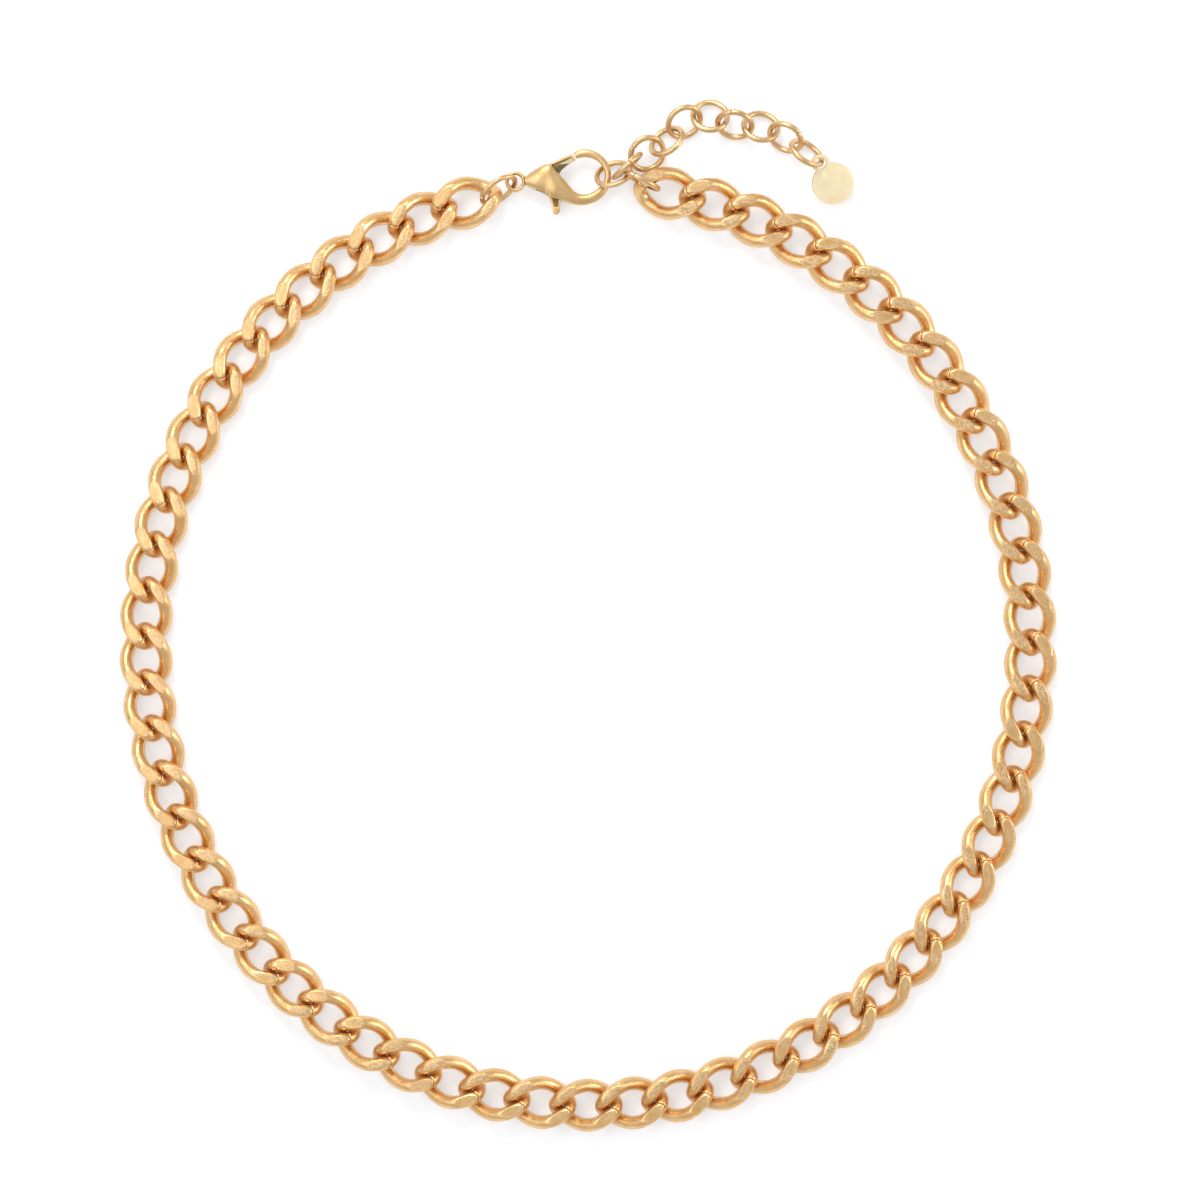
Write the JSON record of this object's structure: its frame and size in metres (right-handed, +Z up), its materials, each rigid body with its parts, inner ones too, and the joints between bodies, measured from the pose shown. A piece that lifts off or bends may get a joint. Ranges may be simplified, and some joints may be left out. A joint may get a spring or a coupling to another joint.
{
  "type": "chain necklace",
  "caption": "Gold-tone curb chain necklace closed by a lobster clasp, with an extender chain of round rings and a plain round end tag.",
  "frame": {"origin": "under the middle of the whole outline, on the surface that the necklace lies on", "axes": "+Z up from the surface, +Y towards the clasp, +X towards the chain end that meets the extender"},
  "size_m": [0.1336, 0.1461, 0.0056],
  "materials": {
    "satin_gold": "matt, lightly worn gold plating with ground flats on the curb links",
    "ring_gold": "satin gold plating on round jump rings",
    "clasp_gold": "cast and tumbled gold plating, slightly darker in the recesses",
    "tag_gold": "smooth pale gold plating on a stamped disc",
    "spring_steel": "plain drawn spring wire"
  },
  "bodies": {
    "link_30": {"link_30": "satin_gold"},
    "link_29": {"link_29": "satin_gold"},
    "link_27_28": {"link_27_28": "satin_gold"},
    "link_26": {"link_26": "satin_gold"},
    "link_25": {"link_25": "satin_gold"},
    "link_23_24": {"link_23_24": "satin_gold"},
    "link_22": {"link_22": "satin_gold"},
    "link_21": {"link_21": "satin_gold"},
    "link_19_20": {"link_19_20": "satin_gold"},
    "link_18": {"link_18": "satin_gold"},
    "link_17": {"link_17": "satin_gold"},
    "link_15_16": {"link_15_16": "satin_gold"},
    "link_14": {"link_14": "satin_gold"},
    "link_13": {"link_13": "satin_gold"},
    "link_11_12": {"link_11_12": "satin_gold"},
    "link_10": {"link_10": "satin_gold"},
    "link_09": {"link_09": "satin_gold"},
    "link_07_08": {"link_07_08": "satin_gold"},
    "link_06": {"link_06": "satin_gold"},
    "link_05": {"link_05": "satin_gold"},
    "link_03_04": {"link_03_04": "satin_gold"},
    "link_02": {"link_02": "satin_gold"},
    "link_01": {"link_01": "satin_gold"},
    "chain_ring": {"chain_ring": "ring_gold"},
    "hook_ring": {"hook_ring": "ring_gold"},
    "link_31": {"link_31": "satin_gold"},
    "link_32_33": {"link_32_33": "satin_gold"},
    "link_34": {"link_34": "satin_gold"},
    "link_35": {"link_35": "satin_gold"},
    "link_36_37": {"link_36_37": "satin_gold"},
    "link_38": {"link_38": "satin_gold"},
    "link_39": {"link_39": "satin_gold"},
    "link_40_41": {"link_40_41": "satin_gold"},
    "link_42": {"link_42": "satin_gold"},
    "link_43": {"link_43": "satin_gold"},
    "link_44_45": {"link_44_45": "satin_gold"},
    "link_46": {"link_46": "satin_gold"},
    "link_47": {"link_47": "satin_gold"},
    "link_48_49": {"link_48_49": "satin_gold"},
    "link_50": {"link_50": "satin_gold"},
    "link_51": {"link_51": "satin_gold"},
    "link_52_53": {"link_52_53": "satin_gold"},
    "link_54": {"link_54": "satin_gold"},
    "link_55_56": {"link_55_56": "satin_gold"},
    "link_57_58": {"link_57_58": "satin_gold"},
    "clasp_ring": {"clasp_ring": "ring_gold"},
    "clasp_body": {"clasp_body": "clasp_gold", "clasp_pin": "clasp_gold", "clasp_spring": "spring_steel"},
    "extender_ring_1": {"extender_ring_1": "ring_gold"},
    "extender_ring_2": {"extender_ring_2": "ring_gold"},
    "extender_ring_3": {"extender_ring_3": "ring_gold"},
    "extender_ring_4": {"extender_ring_4": "ring_gold"},
    "extender_ring_5": {"extender_ring_5": "ring_gold"},
    "extender_ring_6": {"extender_ring_6": "ring_gold"},
    "extender_ring_7": {"extender_ring_7": "ring_gold"},
    "extender_ring_8": {"extender_ring_8": "ring_gold"},
    "extender_ring_9": {"extender_ring_9": "ring_gold"},
    "clasp_lever": {"clasp_lever": "clasp_gold"},
    "end_tag": {"end_tag": "tag_gold"}
  },
  "joints": [
    {"name": "chain_drape_link_29", "type": "hinge", "parent": "link_30", "child": "link_29", "pos_m": [0, -0.06942, 0.0019], "axis": [0, 1, 0], "range_deg": [-3.23, 0]},
    {"name": "chain_drape_link_27_28", "type": "hinge", "parent": "link_29", "child": "link_27_28", "pos_m": [0.00656, -0.06906, 0.0019], "axis": [0, 1, 0], "range_deg": [-5.24, 0.02]},
    {"name": "chain_drape_link_26", "type": "hinge", "parent": "link_27_28", "child": "link_26", "pos_m": [0.01938, -0.06625, 0.0019], "axis": [0, 1, 0], "range_deg": [-5.26, 0.02]},
    {"name": "chain_drape_link_25", "type": "hinge", "parent": "link_26", "child": "link_25", "pos_m": [0.02549, -0.06383, 0.0019], "axis": [0, 1, 0], "range_deg": [-3.19, 0.02]},
    {"name": "chain_drape_link_23_24", "type": "hinge", "parent": "link_25", "child": "link_23_24", "pos_m": [0.0313, -0.06077, 0.0019], "axis": [0, 1, 0], "range_deg": [-4.69, 0.02]},
    {"name": "chain_drape_link_22", "type": "hinge", "parent": "link_23_24", "child": "link_22", "pos_m": [0.04182, -0.05292, 0.0019], "axis": [0, 1, 0], "range_deg": [-4.6, 0.02]},
    {"name": "chain_drape_link_21", "type": "hinge", "parent": "link_22", "child": "link_21", "pos_m": [0.04642, -0.04823, 0.0019], "axis": [0, 1, 0], "range_deg": [-2.45, 0.02]},
    {"name": "chain_squeeze_link_19_20", "type": "hinge", "parent": "link_21", "child": "link_19_20", "pos_m": [0.05052, -0.04309, 0.0019], "axis": [0, 0, 1], "range_deg": [-6.62, 6.62]},
    {"name": "chain_squeeze_link_18", "type": "hinge", "parent": "link_19_20", "child": "link_18", "pos_m": [0.05708, -0.03172, 0.0019], "axis": [0, 0, 1], "range_deg": [-3.17, 3.17]},
    {"name": "chain_squeeze_link_17", "type": "hinge", "parent": "link_18", "child": "link_17", "pos_m": [0.05948, -0.02561, 0.0019], "axis": [0, 0, 1], "range_deg": [-2.02, 2.02]},
    {"name": "chain_squeeze_link_15_16", "type": "hinge", "parent": "link_17", "child": "link_15_16", "pos_m": [0.06128, -0.01928, 0.0019], "axis": [0, 0, 1], "range_deg": [-2.99, 2.99]},
    {"name": "chain_squeeze_link_14", "type": "hinge", "parent": "link_15_16", "child": "link_14", "pos_m": [0.06301, -0.00627, 0.0019], "axis": [0, 0, 1], "range_deg": [-5.71, 5.71]},
    {"name": "chain_squeeze_link_13", "type": "hinge", "parent": "link_14", "child": "link_13", "pos_m": [0.06292, 0.0003, 0.0019], "axis": [0, 0, 1], "range_deg": [-4.03, 4.03]},
    {"name": "chain_squeeze_link_11_12", "type": "hinge", "parent": "link_13", "child": "link_11_12", "pos_m": [0.0622, 0.00683, 0.0019], "axis": [0, 0, 1], "range_deg": [-5, 5]},
    {"name": "chain_squeeze_link_10", "type": "hinge", "parent": "link_11_12", "child": "link_10", "pos_m": [0.05889, 0.01953, 0.0019], "axis": [0, 0, 1], "range_deg": [-2.27, 2.27]},
    {"name": "chain_squeeze_link_09", "type": "hinge", "parent": "link_10", "child": "link_09", "pos_m": [0.05633, 0.02558, 0.0019], "axis": [0, 0, 1], "range_deg": [-1.82, 1.82]},
    {"name": "chain_squeeze_link_07_08", "type": "hinge", "parent": "link_09", "child": "link_07_08", "pos_m": [0.05318, 0.03135, 0.0019], "axis": [0, 0, 1], "range_deg": [-5.7, 5.7]},
    {"name": "chain_drape_link_06", "type": "hinge", "parent": "link_07_08", "child": "link_06", "pos_m": [0.04523, 0.0418, 0.0019], "axis": [0, 1, 0], "range_deg": [-0.02, 2.96]},
    {"name": "chain_drape_link_05", "type": "hinge", "parent": "link_06", "child": "link_05", "pos_m": [0.0405, 0.04636, 0.0019], "axis": [0, 1, 0], "range_deg": [-0.02, 2.99]},
    {"name": "chain_drape_link_03_04", "type": "hinge", "parent": "link_05", "child": "link_03_04", "pos_m": [0.03533, 0.05042, 0.0019], "axis": [0, 1, 0], "range_deg": [-0.02, 5.24]},
    {"name": "chain_drape_link_02", "type": "hinge", "parent": "link_03_04", "child": "link_02", "pos_m": [0.02387, 0.0568, 0.0019], "axis": [0, 1, 0], "range_deg": [-0.02, 5.82]},
    {"name": "chain_drape_link_01", "type": "hinge", "parent": "link_02", "child": "link_01", "pos_m": [0.01769, 0.05905, 0.0019], "axis": [0, 1, 0], "range_deg": [-0.02, 4.35]},
    {"name": "chain_drape_chain_ring", "type": "hinge", "parent": "link_01", "child": "chain_ring", "pos_m": [0.01131, 0.06062, 0.0019], "axis": [0, 1, 0], "range_deg": [-0.02, 3.45]},
    {"name": "chain_drape_hook_ring", "type": "hinge", "parent": "chain_ring", "child": "hook_ring", "pos_m": [0.0083, 0.06303, 0.0019], "axis": [0, 1, 0], "range_deg": [-0.02, 1.96]},
    {"name": "chain_drape_link_31", "type": "hinge", "parent": "link_30", "child": "link_31", "pos_m": [-0.00656, -0.06906, 0.0019], "axis": [0, 1, 0], "range_deg": [-0.02, 3.2]},
    {"name": "chain_drape_link_32_33", "type": "hinge", "parent": "link_31", "child": "link_32_33", "pos_m": [-0.01305, -0.068, 0.0019], "axis": [0, 1, 0], "range_deg": [-0.02, 5.04]},
    {"name": "chain_drape_link_34", "type": "hinge", "parent": "link_32_33", "child": "link_34", "pos_m": [-0.02549, -0.06383, 0.0019], "axis": [0, 1, 0], "range_deg": [-0.02, 4.92]},
    {"name": "chain_drape_link_35", "type": "hinge", "parent": "link_34", "child": "link_35", "pos_m": [-0.0313, -0.06077, 0.0019], "axis": [0, 1, 0], "range_deg": [-0.02, 2.81]},
    {"name": "chain_drape_link_36_37", "type": "hinge", "parent": "link_35", "child": "link_36_37", "pos_m": [-0.03677, -0.05712, 0.0019], "axis": [0, 1, 0], "range_deg": [-0.02, 4.09]},
    {"name": "chain_drape_link_38", "type": "hinge", "parent": "link_36_37", "child": "link_38", "pos_m": [-0.04642, -0.04823, 0.0019], "axis": [0, 1, 0], "range_deg": [-0.02, 3.57]},
    {"name": "chain_squeeze_link_39", "type": "hinge", "parent": "link_38", "child": "link_39", "pos_m": [-0.05052, -0.04309, 0.0019], "axis": [0, 0, 1], "range_deg": [-3.76, 3.76]},
    {"name": "chain_squeeze_link_40_41", "type": "hinge", "parent": "link_39", "child": "link_40_41", "pos_m": [-0.05408, -0.03757, 0.0019], "axis": [0, 0, 1], "range_deg": [-5.67, 5.67]},
    {"name": "chain_squeeze_link_42", "type": "hinge", "parent": "link_40_41", "child": "link_42", "pos_m": [-0.05948, -0.02561, 0.0019], "axis": [0, 0, 1], "range_deg": [-1.82, 1.82]},
    {"name": "chain_squeeze_link_43", "type": "hinge", "parent": "link_42", "child": "link_43", "pos_m": [-0.06128, -0.01928, 0.0019], "axis": [0, 0, 1], "range_deg": [-1.82, 1.82]},
    {"name": "chain_squeeze_link_44_45", "type": "hinge", "parent": "link_43", "child": "link_44_45", "pos_m": [-0.06246, -0.01282, 0.0019], "axis": [0, 0, 1], "range_deg": [-3.82, 3.82]},
    {"name": "chain_squeeze_link_46", "type": "hinge", "parent": "link_44_45", "child": "link_46", "pos_m": [-0.06292, 0.0003, 0.0019], "axis": [0, 0, 1], "range_deg": [-5.61, 5.61]},
    {"name": "chain_squeeze_link_47", "type": "hinge", "parent": "link_46", "child": "link_47", "pos_m": [-0.0622, 0.00683, 0.0019], "axis": [0, 0, 1], "range_deg": [-2.99, 2.99]},
    {"name": "chain_squeeze_link_48_49", "type": "hinge", "parent": "link_47", "child": "link_48_49", "pos_m": [-0.06086, 0.01326, 0.0019], "axis": [0, 0, 1], "range_deg": [-3.45, 3.45]},
    {"name": "chain_squeeze_link_50", "type": "hinge", "parent": "link_48_49", "child": "link_50", "pos_m": [-0.05633, 0.02558, 0.0019], "axis": [0, 0, 1], "range_deg": [-3.35, 3.35]},
    {"name": "chain_squeeze_link_51", "type": "hinge", "parent": "link_50", "child": "link_51", "pos_m": [-0.05318, 0.03135, 0.0019], "axis": [0, 0, 1], "range_deg": [-2.81, 2.81]},
    {"name": "chain_squeeze_link_52_53", "type": "hinge", "parent": "link_51", "child": "link_52_53", "pos_m": [-0.04947, 0.03677, 0.0019], "axis": [0, 0, 1], "range_deg": [-4.03, 4.03]},
    {"name": "chain_drape_link_54", "type": "hinge", "parent": "link_52_53", "child": "link_54", "pos_m": [-0.0405, 0.04636, 0.0019], "axis": [0, 1, 0], "range_deg": [-4.69, 0.02]},
    {"name": "chain_drape_link_55_56", "type": "hinge", "parent": "link_54", "child": "link_55_56", "pos_m": [-0.03533, 0.05042, 0.0019], "axis": [0, 1, 0], "range_deg": [-5.57, 0.02]},
    {"name": "chain_drape_link_57_58", "type": "hinge", "parent": "link_55_56", "child": "link_57_58", "pos_m": [-0.02387, 0.0568, 0.0019], "axis": [0, 1, 0], "range_deg": [-8.03, 0.02]},
    {"name": "chain_drape_clasp_ring", "type": "hinge", "parent": "link_57_58", "child": "clasp_ring", "pos_m": [-0.01131, 0.06062, 0.0019], "axis": [0, 1, 0], "range_deg": [-5.55, 0.02]},
    {"name": "chain_drape_clasp_body", "type": "hinge", "parent": "clasp_ring", "child": "clasp_body", "pos_m": [-0.008, 0.06248, 0.00175], "axis": [0, 1, 0], "range_deg": [-1.68, 0.02]},
    {"name": "extender_ring_1_swing", "type": "hinge", "parent": "hook_ring", "child": "extender_ring_1", "pos_m": [0.00761, 0.06342, 0.0019], "axis": [0, 0, 1], "range_deg": [-4, 8]},
    {"name": "extender_ring_2_swing", "type": "hinge", "parent": "extender_ring_1", "child": "extender_ring_2", "pos_m": [0.01008, 0.0648, 0.0019], "axis": [0, 0, 1], "range_deg": [-4, 20]},
    {"name": "extender_ring_3_swing", "type": "hinge", "parent": "extender_ring_2", "child": "extender_ring_3", "pos_m": [0.01296, 0.06646, 0.0019], "axis": [-0.4889, 0.8723, 0], "range_deg": [-20, 0]},
    {"name": "extender_ring_4_swing", "type": "hinge", "parent": "extender_ring_3", "child": "extender_ring_4", "pos_m": [0.01569, 0.06856, 0.0019], "axis": [0, 0, -1], "range_deg": [-20, 5]},
    {"name": "extender_ring_5_swing", "type": "hinge", "parent": "extender_ring_4", "child": "extender_ring_5", "pos_m": [0.01887, 0.07024, 0.0019], "axis": [0.1897, -0.9818, 0], "range_deg": [0, 20]},
    {"name": "extender_ring_6_swing", "type": "hinge", "parent": "extender_ring_5", "child": "extender_ring_6", "pos_m": [0.02244, 0.06988, 0.0019], "axis": [0, 0, 1], "range_deg": [-8, 6]},
    {"name": "extender_ring_7_swing", "type": "hinge", "parent": "extender_ring_6", "child": "extender_ring_7", "pos_m": [0.02601, 0.06896, 0.0019], "axis": [0.1044, 0.9945, 0], "range_deg": [-20, 0]},
    {"name": "extender_ring_8_swing", "type": "hinge", "parent": "extender_ring_7", "child": "extender_ring_8", "pos_m": [0.0296, 0.06789, 0.0019], "axis": [0, 0, -1], "range_deg": [-20, 14]},
    {"name": "extender_ring_9_swing", "type": "hinge", "parent": "extender_ring_8", "child": "extender_ring_9", "pos_m": [0.03275, 0.06585, 0.0019], "axis": [-0.6298, -0.7767, 0], "range_deg": [0, 20]},
    {"name": "end_tag_swing", "type": "hinge", "parent": "extender_ring_9", "child": "end_tag", "pos_m": [0.03609, 0.06315, 0.00246], "axis": [0, 0, 1], "range_deg": [-30, 16]},
    {"name": "clasp_gate", "type": "hinge", "parent": "clasp_body", "child": "clasp_lever", "pos_m": [-0.0026, 0.06213, 0.00175], "axis": [0, 0, -1], "range_deg": [0, 18]}
  ],
  "couplings": [
    {"joint": "chain_drape_link_27_28", "follows": "chain_drape_link_29", "ratio": 1.617},
    {"joint": "chain_drape_link_26", "follows": "chain_drape_link_29", "ratio": 1.6232},
    {"joint": "chain_drape_link_25", "follows": "chain_drape_link_29", "ratio": 0.98282},
    {"joint": "chain_drape_link_23_24", "follows": "chain_drape_link_29", "ratio": 1.448},
    {"joint": "chain_drape_link_22", "follows": "chain_drape_link_29", "ratio": 1.4183},
    {"joint": "chain_drape_link_21", "follows": "chain_drape_link_29", "ratio": 0.75326},
    {"joint": "chain_squeeze_link_18", "follows": "chain_squeeze_link_19_20", "ratio": 0.47614},
    {"joint": "chain_squeeze_link_17", "follows": "chain_squeeze_link_19_20", "ratio": -0.30233},
    {"joint": "chain_squeeze_link_15_16", "follows": "chain_squeeze_link_19_20", "ratio": -0.44794},
    {"joint": "chain_squeeze_link_14", "follows": "chain_squeeze_link_19_20", "ratio": -0.85875},
    {"joint": "chain_squeeze_link_13", "follows": "chain_squeeze_link_19_20", "ratio": -0.60482},
    {"joint": "chain_squeeze_link_11_12", "follows": "chain_squeeze_link_19_20", "ratio": -0.75159},
    {"joint": "chain_squeeze_link_10", "follows": "chain_squeeze_link_19_20", "ratio": 0.33919},
    {"joint": "chain_squeeze_link_09", "follows": "chain_squeeze_link_19_20", "ratio": 0.27168},
    {"joint": "chain_squeeze_link_07_08", "follows": "chain_squeeze_link_19_20", "ratio": 0.8578},
    {"joint": "chain_drape_link_06", "follows": "chain_drape_link_29", "ratio": -0.90965},
    {"joint": "chain_drape_link_05", "follows": "chain_drape_link_29", "ratio": -0.92023},
    {"joint": "chain_drape_link_03_04", "follows": "chain_drape_link_29", "ratio": -1.6168},
    {"joint": "chain_drape_link_02", "follows": "chain_drape_link_29", "ratio": -1.7983},
    {"joint": "chain_drape_link_01", "follows": "chain_drape_link_29", "ratio": -1.3419},
    {"joint": "chain_drape_chain_ring", "follows": "chain_drape_link_29", "ratio": -1.0633},
    {"joint": "chain_drape_hook_ring", "follows": "chain_drape_link_29", "ratio": -0.60221},
    {"joint": "chain_drape_link_31", "follows": "chain_drape_link_29", "ratio": -0.98676},
    {"joint": "chain_drape_link_32_33", "follows": "chain_drape_link_29", "ratio": -1.5557},
    {"joint": "chain_drape_link_34", "follows": "chain_drape_link_29", "ratio": -1.5169},
    {"joint": "chain_drape_link_35", "follows": "chain_drape_link_29", "ratio": -0.86574},
    {"joint": "chain_drape_link_36_37", "follows": "chain_drape_link_29", "ratio": -1.2619},
    {"joint": "chain_drape_link_38", "follows": "chain_drape_link_29", "ratio": -1.0991},
    {"joint": "chain_squeeze_link_39", "follows": "chain_squeeze_link_19_20", "ratio": -0.56434},
    {"joint": "chain_squeeze_link_40_41", "follows": "chain_squeeze_link_19_20", "ratio": -0.85337},
    {"joint": "chain_squeeze_link_42", "follows": "chain_squeeze_link_19_20", "ratio": 0.27169},
    {"joint": "chain_squeeze_link_43", "follows": "chain_squeeze_link_19_20", "ratio": 0.27149},
    {"joint": "chain_squeeze_link_44_45", "follows": "chain_squeeze_link_19_20", "ratio": 0.5735},
    {"joint": "chain_squeeze_link_46", "follows": "chain_squeeze_link_19_20", "ratio": 0.84374},
    {"joint": "chain_squeeze_link_47", "follows": "chain_squeeze_link_19_20", "ratio": 0.44891},
    {"joint": "chain_squeeze_link_48_49", "follows": "chain_squeeze_link_19_20", "ratio": 0.51722},
    {"joint": "chain_squeeze_link_50", "follows": "chain_squeeze_link_19_20", "ratio": -0.50298},
    {"joint": "chain_squeeze_link_51", "follows": "chain_squeeze_link_19_20", "ratio": -0.42131},
    {"joint": "chain_squeeze_link_52_53", "follows": "chain_squeeze_link_19_20", "ratio": -0.60585},
    {"joint": "chain_drape_link_54", "follows": "chain_drape_link_29", "ratio": 1.447},
    {"joint": "chain_drape_link_55_56", "follows": "chain_drape_link_29", "ratio": 1.7195},
    {"joint": "chain_drape_link_57_58", "follows": "chain_drape_link_29", "ratio": 2.4805},
    {"joint": "chain_drape_clasp_ring", "follows": "chain_drape_link_29", "ratio": 1.7141},
    {"joint": "chain_drape_clasp_body", "follows": "chain_drape_link_29", "ratio": 0.51523}
  ]
}
